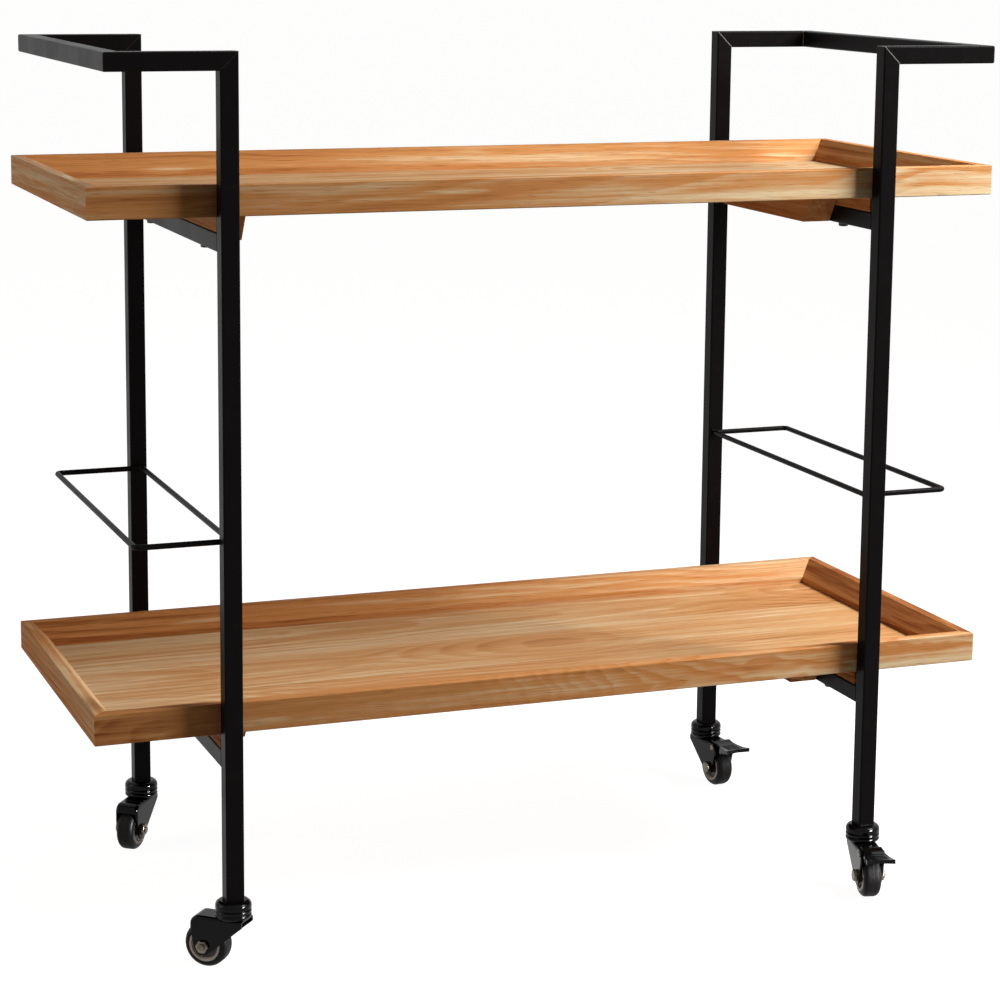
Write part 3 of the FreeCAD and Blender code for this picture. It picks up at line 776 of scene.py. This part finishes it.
@dataclass(frozen=True)
class WheelFinish:
    """A moulded hub with a pale ring, and a black rubber tyre whose tread is lighter, partly dust
    and partly painted sheen.
    """

    relief: float = 0.00008
    web: Colour = srgb(44, 36, 31)
    ring: Colour = srgb(240, 228, 220)
    hub_ring: Triple = (0.0119, 0.0145, 0.0003)
    hub_specular: float = 0.3
    hub_specks: Span = (0.35, 0.75, 0.0, 0.18)
    hub_roughness: Span = (0.3, 0.7, 0.32, 0.5)
    hub_bump: float = 0.6
    rubber: Colour = srgb(14, 12, 12)
    # The lighter tread colour is partly dust and partly painted sheen.
    dust_and_sheen: Colour = srgb(28, 25, 24)
    tread: Triple = (0.0185, 0.0215, 0.0012)
    tread_dust_and_sheen: Span = (0.3, 0.75, 0.25, 0.8)
    tyre_specular: float = 0.09
    tyre_roughness: Span = (0.0, 0.8, 0.38, 0.68)
    tyre_mottle: float = 0.6
    parting: float = 0.0006
    parting_edge: Pair = (1.0, 0.2)
    parting_height: float = 1.5

    def face(self, graph: Graph, place: Socket, ring: Triple) -> Outputs:
        """Puts a ring about the axle into a material: inner radius, outer radius, soft edge."""
        radii = {"Ring Inner": ring[0], "Ring Outer": ring[1], "Edge": ring[2]}
        return WheelFace().put(graph, {"Vector": place, **radii})

    def hub(self, name: str, centre: Sequence[float], turn: float) -> Material:
        """The hub's finish.

        Args:
            name: The wheel's corner.
            centre: The middle of the wheel, in metres.
            turn: The caster's swivel angle, in radians.

        Returns:
            The material.
        """
        skin = Skin(f"hub_{name}", Specular_IOR_Level=self.hub_specular)
        graph = skin.graph
        face = self.face(graph, graph.place(centre, turn), self.hub_ring)
        pale = graph.mix(graph.remap(face["Mottle"], *self.hub_specks), self.ring, self.web)
        return skin.cover(graph.mix(face["Ring"], self.web, pale),
                          graph.remap(face["Mottle"], *self.hub_roughness),
                          graph.bump(face["Mottle"], self.relief, self.hub_bump))

    def tyre(self, name: str, centre: Sequence[float], turn: float) -> Material:
        """The tyre's finish.

        Args:
            name: The wheel's corner.
            centre: The middle of the wheel, in metres.
            turn: The caster's swivel angle, in radians.

        Returns:
            The material.
        """
        skin = Skin(f"tyre_{name}", Specular_IOR_Level=self.tyre_specular)
        graph = skin.graph
        face = self.face(graph, graph.place(centre, turn), self.tread)
        # The lighter tread band: partly dust, partly painted sheen.
        dust_and_sheen_mask = graph.math("MULTIPLY", face["Ring"], graph.remap(face["Mottle"], *self.tread_dust_and_sheen))
        across = graph.math("DIVIDE", face["Across"], self.parting)
        parting = graph.remap(across, *self.parting_edge)
        height = graph.math("MULTIPLY", parting, self.parting_height)
        height = graph.math("MULTIPLY_ADD", face["Mottle"], self.tyre_mottle, height)
        return skin.cover(graph.mix(dust_and_sheen_mask, self.rubber, self.dust_and_sheen),
                          graph.remap(dust_and_sheen_mask, *self.tyre_roughness), graph.bump(height, self.relief))


def dress(node: str, material: Material) -> None:
    """Gives a node of the frame its finish.

    Args:
        node: The node's name.
        material: Its finish.
    """
    for slot in frame["nodes"][node].material_slots:
        slot.material = material
    LOG.info("dressed %s in %s", node, material.name)


def show(name: str, data: bpy.types.ID) -> bpy.types.Object:
    """Puts a mesh, a lamp or a camera into the scene.

    Args:
        name: The object's name.
        data: What it shows.

    Returns:
        The new object.
    """
    made = bpy.data.objects.new(name, data)
    bpy.context.scene.collection.objects.link(made)
    LOG.info("built %s", name)
    return made


def mesh_of(name: str, shape: Shape) -> bpy.types.Mesh:
    """Turns a shape into a mesh.

    Args:
        name: The mesh's name.
        shape: The shape, which is used up.

    Returns:
        The mesh.
    """
    mesh = bpy.data.meshes.new(name)
    shape.to_mesh(mesh)
    shape.free()
    return mesh


def add_piece(name: str, shape: Shape, body: str,
              material: Material) -> bpy.types.Object:
    """Turns a shape into a piece that moves with a body.

    Args:
        name: The piece's name.
        shape: Its shape, in place, which is used up.
        body: The body that carries it.
        material: The finish that it shows.

    Returns:
        The new object.
    """
    bmesh.ops.recalc_face_normals(shape, faces=shape.faces[:])
    mesh = mesh_of(name, shape)
    mesh.materials.append(material)
    mesh.shade_smooth()
    mesh.set_sharp_from_angle(angle=SHARP_ANGLE)
    made = show(name, mesh)
    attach(made, body)
    return made


def merge(target: Shape, part: Shape, place: Matrix) -> None:
    """Adds a part to a shape.

    Args:
        target: The shape that grows.
        part: The part, which is used up.
        place: Where the part goes.
    """
    bmesh.ops.transform(part, matrix=place, verts=part.verts[:])
    mesh = mesh_of("part", part)
    target.from_mesh(mesh)
    bpy.data.meshes.remove(mesh)


@dataclass
class WeldBead:
    """A run of weld with ripples, drawn along Z about the origin."""

    length: float
    radius: float
    ripples: int = 7
    ripple_depth: float = 0.16
    ripple_steps: int = 4
    sides: int = 12
    end_fullness: int = 10
    end_share: float = 0.12

    def shape(self) -> Shape:
        """Builds the bead.

        Returns:
            A rippled bar with rounded ends.
        """
        bead = bmesh.new()
        bmesh.ops.create_cone(bead, cap_ends=True, segments=self.sides, radius1=self.radius,
                              radius2=self.radius, depth=self.length)
        runs = [e for e in bead.edges if abs(e.verts[0].co.z - e.verts[1].co.z) > self.length / 2]
        steps = self.ripple_steps * self.ripples
        bmesh.ops.subdivide_edges(bead, edges=runs, cuts=steps - 1, use_grid_fill=True)
        rings: dict[int, list[bmesh.types.BMVert]] = {}
        for vert in bead.verts:
            rings.setdefault(round((vert.co.z / self.length + 0.5) * steps), []).append(vert)
        for step, ring in rings.items():
            ripple = 1 - self.ripple_depth * abs(math.sin(math.pi * step / self.ripple_steps))
            along = 2 * step / steps - 1
            size = ripple * math.sqrt(max(self.end_share, 1 - along ** self.end_fullness))
            bmesh.ops.scale(bead, vec=(size, size, 1), verts=ring)
        return bead


@dataclass
class FrameWork:
    """The black frame: posts, arms, handle bars, rails and wire racks, with their welds."""

    coat: PowderCoat = PowderCoat()
    bead_radius: float = 0.0019
    bead_sink: float = 0.0004
    bead_margin: float = 0.0012
    rack_bead_radius: float = 0.0011
    rack_bead_margin: float = 0.0024
    rack_bead_rise: float = 0.36
    rack_ripples: int = 5

    def finish(self) -> Material:
        """Works out the mitres from the frame and makes its finish.

        Returns:
            The material.
        """
        arm_low, arm_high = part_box("arm_front_right")
        post_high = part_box("post_front_right")[1]
        return self.coat.welded(post_high.x + arm_low.z, arm_high.x + arm_low.y,
                                arm_low.z - self.coat.seam_width)

    def lay(self, name: str, bead: WeldBead, middle: float, ends: Pair, heights: Pair,
            finish: Material) -> None:
        """Lays four beads along X as one piece.

        Args:
            name: The piece's name.
            bead: The bead.
            middle: The X of the beads' middle, in metres.
            ends: The low and the high Y, into which the beads sink.
            heights: The low and the high Z.
            finish: The frame's finish.
        """
        shape = bmesh.new()
        for y in (ends[0] + self.bead_sink, ends[1] - self.bead_sink):
            for z in heights:
                place = Matrix.Translation((middle, y, z)) @ Matrix.Rotation(math.pi / 2, 4, "Y")
                merge(shape, bead.shape(), place)
        add_piece(name, shape, "frame", finish)

    def rail_welds(self, finish: Material) -> None:
        """Lays the fillet welds at the ends of every rail.

        Args:
            finish: The frame's finish.
        """
        for level in Level:
            for side in Side:
                low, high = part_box(f"rail_{level.value}_{side.word}")
                bead = WeldBead(high.x - low.x - 2 * self.bead_margin, self.bead_radius)
                self.lay(f"welds_{level.value}_{side.word}", bead, (low.x + high.x) / 2,
                         (low.y, high.y), (low.z - self.bead_sink, high.z + self.bead_sink), finish)

    def rack_welds(self, finish: Material) -> None:
        """Lays a bead above and below the wire where a rack meets its posts.

        Args:
            finish: The frame's finish.
        """
        for side in Side:
            low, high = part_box(f"rack_{side.word}")
            post_low, post_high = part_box(f"post_front_{side.word}")
            bead = WeldBead(post_high.x - post_low.x - 2 * self.rack_bead_margin,
                            self.rack_bead_radius, self.rack_ripples)
            wire, rise = (low.z + high.z) / 2, (high.z - low.z) * self.rack_bead_rise
            self.lay(f"rack_welds_{side.word}", bead, (post_low.x + post_high.x) / 2,
                     (low.y, high.y), (wire - rise, wire + rise), finish)

    def build(self) -> None:
        """Dresses the tubes and wires and lays the welds."""
        finish = self.finish()
        for side in Side:
            for piece in ("post_front", "arm_front", "post_rear", "arm_rear", "handle_bar", "rack",
                          *(f"rail_{level.value}" for level in Level)):
                dress(f"{piece}_{side.word}", finish)
        self.rail_welds(finish)
        self.rack_welds(finish)


@dataclass
class SocketScrew:
    """A button-head screw with a hexagon socket, head down, its seat at z = 0."""

    head_radius: float
    head_height: float
    shank_radius: float
    shank_length: float
    socket_radius: float = 0.0024
    socket_depth: float = 0.0018
    flats: int = 6
    ease: float = 0.0012
    ease_steps: int = 4
    sides: int = 36
    shank_sides: int = 16

    def ring(self, screw: Shape, segments: int, radius: float) -> Edges:
        """Draws a ring of edges round Z, at z = 0."""
        made = bmesh.ops.create_circle(screw, cap_ends=False, segments=segments, radius=radius)
        return list(dict.fromkeys(edge for vert in made["verts"] for edge in vert.link_edges))

    def close(self, screw: Shape, edges: Edges, height: float) -> None:
        """Draws a wall up from a ring of edges and closes it with a flat face.

        Args:
            screw: The shape that grows.
            edges: The ring.
            height: How high the wall is, in metres.
        """
        wall = bmesh.ops.extrude_edge_only(screw, edges=edges)["geom"]
        top = [item for item in wall if isinstance(item, bmesh.types.BMVert)]
        bmesh.ops.translate(screw, vec=(0, 0, height), verts=top)
        outline = [item for item in wall if isinstance(item, bmesh.types.BMEdge)]
        bmesh.ops.contextual_create(screw, geom=outline)

    def shape(self) -> Shape:
        """Builds the screw.

        Returns:
            The head with its socket, and the shank above it.
        """
        screw = bmesh.new()
        rim = self.ring(screw, self.sides, self.head_radius)
        flats = self.ring(screw, self.flats, self.socket_radius)
        cuts = self.sides // self.flats - 1
        cut = bmesh.ops.subdivide_edges(screw, edges=flats, cuts=cuts)["geom"]
        socket = list(dict.fromkeys(item for item in cut if isinstance(item, bmesh.types.BMEdge)))
        bmesh.ops.bridge_loops(screw, edges=rim + socket)
        self.close(screw, socket, self.socket_depth)
        self.close(screw, rim, self.head_height)
        bmesh.ops.bevel(screw, geom=rim, offset=self.ease, segments=self.ease_steps, profile=0.5,
                        affect="EDGES", material=-1)
        bmesh.ops.translate(screw, vec=(0, 0, -self.head_height), verts=screw.verts[:])
        shank = bmesh.new()
        bmesh.ops.create_cone(shank, cap_ends=True, segments=self.shank_sides,
                              radius1=self.shank_radius, radius2=self.shank_radius,
                              depth=self.shank_length)
        merge(screw, shank, Matrix.Translation((0, 0, self.shank_length / 2)))
        return screw


@dataclass
class Tray:
    """One timber tray: mitred rims, a glued-up floor, and strips, cleats and screws under it."""

    level: Level
    timber: Timber
    veneer: Timber
    screw_finish: Material
    seed: float
    log_step: float = 3.7
    under_seed: float = 20.0
    under_step: float = 5.3
    head_radius: float = 0.0045
    head_height: float = 0.0036
    shank_radius: float = 0.002

    def middle(self, node: str) -> Vector:
        """The middle of a node's box."""
        low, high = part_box(node)
        return (low + high) / 2

    def boards(self) -> dict[str, tuple[Grain, Board]]:
        """Cuts the four rims from boards of their own.

        Returns:
            Each rim's grain and board, by the end of the tray.
        """
        rear, left, right = (self.seed + logs * self.log_step for logs in (1, 2, 3))
        # The right rims face away from the key lamp: their darker shade, most of all on the lower
        # tray, is painted shade.
        if self.level is Level.UPPER:
            front = Board(self.seed, heart=(0.09, 0.05), shade=0.3, taper=0.05, drift=-0.4)
            rear_shade, right_painted_shade = 0.42, 0.42
        else:
            front = Board(self.seed, heart=(0.0, -0.011), shade=0.41, taper=0.1, drift=-0.75,
                          swell=(-0.28, 0.45, 0.2), ring_width=0.0125, ripple=0.034, contrast=0.2)
            rear_shade, right_painted_shade = 0.36, 0.7
        return {
            "front": (Grain.ALONG_X, front),
            "rear": (Grain.ALONG_X, Board(rear, heart=(-0.02, -0.09), shade=rear_shade, taper=0.03,
                                          drift=-0.34, contrast=0.18)),
            "left": (Grain.ALONG_Y, Board(left, heart=(0.02, -0.08), shade=0.34, taper=0.03)),
            "right": (Grain.ALONG_Y, Board(right, heart=(-0.02, -0.08), shade=right_painted_shade,
                                           taper=0.04))}

    def rims(self) -> None:
        """Dresses the four rims."""
        for end, (grain, board) in self.boards().items():
            node = f"rim_{self.level.value}_{end}"
            dress(node, self.timber.board(node, grain, self.middle(node), board))

    def floor(self) -> None:
        """Dresses the floor panel."""
        node = f"floor_{self.level.value}"
        if self.level is Level.UPPER:
            board = Board(self.seed, shade=0.1, taper=0.03, drift=-0.25, swell=(-0.16, 0.2, 0.026))
        else:
            board = Board(self.seed, shade=0.25, taper=0.03, drift=0.4, swell=(0.05, 0.2, 0.026),
                          contrast=0.19)
        dress(node, self.veneer.panel(node, self.middle(node), board))

    def under(self) -> None:
        """Dresses the spacer strips and the cleats."""
        for side in Side:
            for count, piece in enumerate(("strip", "cleat")):
                node = f"{piece}_{self.level.value}_{side.word}"
                seed = self.seed + self.under_seed + self.under_step * count + side.value
                board = Board(seed, heart=(0.01, -0.04), shade=0.48)
                dress(node, self.timber.board(node, Grain.ALONG_Y, self.middle(node), board))

    def screws(self) -> None:
        """Builds the four screws with their sockets in place of the plain ones."""
        node = f"screws_{self.level.value}"
        low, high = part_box(node)
        seat = low.z + self.head_height
        screw = SocketScrew(self.head_radius, self.head_height, self.shank_radius, high.z - seat)
        shape = bmesh.new()
        for x in (low.x + self.head_radius, high.x - self.head_radius):
            for y in (low.y + self.head_radius, high.y - self.head_radius):
                merge(shape, screw.shape(), Matrix.Translation((x, y, seat)))
        made = add_piece(f"socket_{node}", shape, "frame", self.screw_finish)
        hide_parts(node)

    def build(self) -> None:
        """Dresses the timber and builds the screws."""
        self.rims()
        self.floor()
        self.under()
        self.screws()


@dataclass
class PedalGrip:
    """The raised ribs on a brake pedal's hollow tread, in the caster's own axes from the pin."""

    first: float = 0.0142
    pitch: float = 0.0042
    count: int = 4
    width: float = 0.0012
    height: float = 0.0006
    ease: float = 0.7
    ease_steps: int = 3
    hollow_x: float = 0.023985
    hollow_z: float = 0.07885
    hollow_radius: float = 0.07605
    lift: float = math.radians(4)
    root_half: float = 0.0072
    spread: float = 0.13

    def rib(self, half: float) -> Shape:
        """Builds one rib about the origin.

        Args:
            half: Half of its length, in metres.

        Returns:
            A bar with a rounded top.
        """
        rib = bmesh.new()
        bmesh.ops.create_cube(rib, size=1.0)
        bmesh.ops.scale(rib, vec=(self.width, 2 * half, 2 * self.height), verts=rib.verts[:])
        upper = [e for e in rib.edges if e.verts[0].co.z > 0 and e.verts[1].co.z > 0]
        bmesh.ops.bevel(rib, geom=upper, offset=self.height * self.ease, segments=self.ease_steps,
                        profile=0.5, affect="EDGES", material=-1)
        return rib

    def shape(self) -> Shape:
        """Builds the ribs on a pedal that points along +X.

        Returns:
            The ribs, each sunk by half into the tread.
        """
        grip = bmesh.new()
        tilt = Matrix.Rotation(-self.lift, 4, "Y")
        for index in range(self.count):
            away = self.first + index * self.pitch
            slope = math.asin((away - self.hollow_x) / self.hollow_radius)
            top = self.hollow_z - self.hollow_radius * math.cos(slope)
            seat = Matrix.Translation((away, 0, top)) @ Matrix.Rotation(-slope, 4, "Y")
            merge(grip, self.rib(self.root_half + self.spread * (away - self.first)), tilt @ seat)
        return grip


@dataclass
class Caster:
    """One caster: fork, axle, wheel and, on the right, a brake pedal."""

    corner: Corner
    wheel: WheelFinish
    gloss: Material
    zinc: Material

    def joint(self, kind: str) -> dict:
        """The record's joint of this caster, by kind: swivel, roll or brake."""
        return next(j for j in frame["joints"] if j["name"] == f"{kind}_{self.corner.value}")

    def turn(self) -> float:
        """The swivel angle at rest, in radians, from the axle's direction."""
        axis = self.joint("roll")["axis"]
        return math.atan2(-axis[0], axis[1])

    def grip(self) -> None:
        """Builds the ribs on the brake pedal's tread."""
        name = self.corner.value
        shape = PedalGrip().shape()
        turn = Matrix.Rotation(self.turn(), 4, "Z")
        place = Matrix.Translation(self.joint("brake")["pos_m"]) @ turn
        bmesh.ops.transform(shape, matrix=place, verts=shape.verts[:])
        add_piece(f"pedal_grip_{name}", shape, f"pedal_{name}", self.gloss)

    def build(self) -> None:
        """Dresses the caster's pieces and builds its grip."""
        name = self.corner.value
        wheel = (name, self.joint("roll")["pos_m"], self.turn())
        finishes = {"fork": self.gloss, "axle": self.zinc, "hub": self.wheel.hub(*wheel),
                    "tyre": self.wheel.tyre(*wheel), "pedal": self.gloss, "pin": self.zinc}
        for node in self.corner.nodes:
            dress(node, finishes[node.split("_")[0]])
        if self.corner.braked:
            self.grip()


@dataclass(frozen=True)
class SoftBox:
    """One area lamp that points at a spot, and may light some nodes alone or only give glints."""

    name: str
    place: Triple
    aim: Triple
    size: Pair
    power: float
    tint: Triple = (1.0, 1.0, 1.0)
    spread: float = 180.0
    glints_only: bool = False
    nodes: tuple[str, ...] = ()

    def build(self) -> None:
        """Hangs the lamp."""
        data = bpy.data.lights.new(self.name, "AREA")
        data.shape = "RECTANGLE"
        data.size, data.size_y = self.size
        data.energy = self.power
        data.color = self.tint
        data.spread = math.radians(self.spread)
        lamp = show(self.name, data)
        lamp.location = self.place
        lamp.rotation_mode = "QUATERNION"
        lamp.rotation_quaternion = (Vector(self.aim) - Vector(self.place)).to_track_quat("-Z", "Y")
        lamp.visible_camera = False
        lamp.visible_diffuse = not self.glints_only
        if self.nodes:
            lit = bpy.data.collections.new(f"{self.name}_lit")
            for node in self.nodes:
                lit.objects.link(frame["nodes"][node])
            lamp.light_linking.receiver_collection = lit


@dataclass
class Studio:
    """A white studio: pale floor, soft lamps, even sky and the photograph's camera."""

    floor_half: float = 30.0
    floor_glow: float = 0.96
    floor_matt: Colour = (0.3, 0.3, 0.3, 1.0)
    sky: float = 0.06
    sky_tint: Colour = (1.0, 0.84, 0.7, 1.0)
    fill_tint: Triple = (1.0, 0.93, 0.85)
    sun_strength: float = 0.18
    sun_spread: float = 70.0
    sun_tilt: Pair = (10.0, 30.0)
    focal_px: float = 2669.767
    image_px: float = 1000.0
    axis_px: float = 380.0
    sensor: float = 36.0
    clip_end: float = 120.0
    yaw: float = 20.689
    pitch: float = 9.563
    roll: float = -0.543
    eye: Triple = (-0.8675, -2.3018, 0.8859)

    def seen(self, graph: Graph) -> Socket:
        """Finds the rays that see the white backdrop.

        Args:
            graph: The tree of the floor or the sky.

        Returns:
            1 for a ray that sees it straight on, mirrored or through glass, and 0 for others.
        """
        path = graph.add("ShaderNodeLightPath")
        shown = graph.math("MAXIMUM", path["Is Camera Ray"], path["Is Glossy Ray"])
        return graph.math("MAXIMUM", shown, path["Is Transmission Ray"])

    def floor(self) -> None:
        """Lays a pale floor that glows to the camera and still takes the cart's shadow."""
        material = bpy.data.materials.new("pale_floor")
        material.use_nodes = True
        nodes = material.node_tree.nodes
        nodes.remove(nodes["Principled BSDF"])
        graph = Graph(material.node_tree)
        strength = graph.math("MULTIPLY", self.seen(graph), self.floor_glow)
        glow = graph.add("ShaderNodeEmission", {"Strength": strength})[0]
        matt = graph.add("ShaderNodeBsdfDiffuse", {"Color": self.floor_matt})[0]
        both = graph.add("ShaderNodeAddShader", {0: matt, 1: glow})[0]
        graph.feed(nodes["Material Output"].inputs["Surface"], both)
        shape = bmesh.new()
        bmesh.ops.create_grid(shape, x_segments=1, y_segments=1, size=self.floor_half)
        mesh = mesh_of("floor", shape)
        mesh.materials.append(material)
        show("floor", mesh)

    def world(self) -> None:
        """Sets an even sky that shows white and lights softly."""
        world = bpy.data.worlds.new("studio")
        world.use_nodes = True
        bpy.context.scene.world = world
        graph = Graph(world.node_tree)
        seen = self.seen(graph)
        background = world.node_tree.nodes["Background"].inputs
        graph.feed(background["Color"], graph.mix(seen, self.sky_tint, WHITE))
        strength = graph.math("MULTIPLY_ADD", seen, 1.0 - self.sky, self.sky)
        graph.feed(background["Strength"], strength)

    def lamps(self) -> None:
        """Hangs the lamps: a close key at the right, a fill at the left and a broad light above.

        A small spark gives the glossy casters their glints.
        """
        casters = ("caster_domes", *(node for corner in Corner for node in corner.nodes))
        SoftBox("key", place=(1.2, -0.72, 1.42), aim=(0.4, -0.05, 0.4), size=(0.6, 0.8), power=27.0,
                spread=140.0).build()
        SoftBox("spark", place=(0.75, -0.95, 0.4), aim=(-0.08, 0.0, 0.05), size=(0.34, 0.27),
                power=7.2, spread=40.0, glints_only=True, nodes=casters).build()
        SoftBox("fill", place=(-1.9, 0.3, 0.8), aim=(-0.3, 0.1, 0.45), size=(0.8, 1.2), power=6.8,
                tint=self.fill_tint).build()
        data = bpy.data.lights.new("overhead", "SUN")
        data.energy = self.sun_strength
        data.color = self.sky_tint[:3]
        data.angle = math.radians(self.sun_spread)
        lamp = show("overhead", data)
        lamp.rotation_euler = [math.radians(angle) for angle in self.sun_tilt] + [0.0]

    def camera(self) -> None:
        """Sets the camera at the photograph's viewing angle."""
        yaw, pitch, roll = (math.radians(angle) for angle in (self.yaw, self.pitch, self.roll))
        level = Vector((math.sin(yaw), math.cos(yaw), 0)) * math.cos(pitch)
        forward = level - Vector((0, 0, math.sin(pitch)))
        right = Vector((math.cos(yaw), -math.sin(yaw), 0))
        down = forward.cross(right)
        across = math.cos(roll) * right + math.sin(roll) * down
        below = math.cos(roll) * down - math.sin(roll) * right
        data = bpy.data.cameras.new("camera")
        data.sensor_width = self.sensor
        data.lens = self.focal_px * self.sensor / self.image_px
        data.shift_y = (self.axis_px - self.image_px / 2) / self.image_px
        data.clip_end = self.clip_end
        camera = show("camera", data)
        turn = Matrix((across, -below, -forward)).transposed()
        camera.matrix_world = Matrix.Translation(self.eye) @ turn.to_4x4()
        bpy.context.scene.camera = camera

    def build(self) -> None:
        """Sets up the whole studio."""
        bpy.context.scene.view_settings.view_transform = "Standard"
        self.floor()
        self.world()
        self.lamps()
        self.camera()


def main() -> None:
    """Builds the cart's sub-assemblies in order, then the studio."""
    logging.basicConfig(level=logging.INFO, format="%(name)s: %(message)s")
    gloss = Coat("caster_gloss", base=srgb(9, 7, 8), rubbed=srgb(14, 11, 12), smooth=0.05, dull=0.1,
                 specular=0.1, relief=0.000015).material()
    nylon = Coat("plug_nylon", base=srgb(28, 28, 28), rubbed=srgb(44, 44, 44), smooth=0.5,
                 dull=0.62, specular=0.4).material()
    black_zinc = Coat("black_zinc", base=srgb(26, 25, 25), rubbed=srgb(48, 46, 44), smooth=0.3,
                      dull=0.46, specular=0.3).material()
    # Painted reflection: the zinc is darker than bright plate, and its patches darker still, in
    # place of the dark surroundings that the plated nuts mirror.
    zinc = Coat("zinc_plate", base=srgb(110, 103, 94), rubbed=srgb(52, 46, 41), smooth=0.2,
                dull=0.42, metallic=1.0, peel_scale=1600.0, relief=0.00003).material()
    timber = Timber()
    veneer = Timber(light=srgb(229, 203, 163), middle=srgb(205, 152, 99), dark=srgb(138, 78, 42))

    FrameWork().build()
    for level, seed in ((Level.UPPER, 4.0), (Level.LOWER, 31.0)):
        Tray(level, timber, veneer, black_zinc, seed).build()
    dress("post_plugs", nylon)
    dress("caster_stems", zinc)
    dress("caster_domes", gloss)
    wheel = WheelFinish()
    for corner in Corner:
        Caster(corner, wheel, gloss, zinc).build()
    Studio().build()


if __name__ == "__main__":
    main()
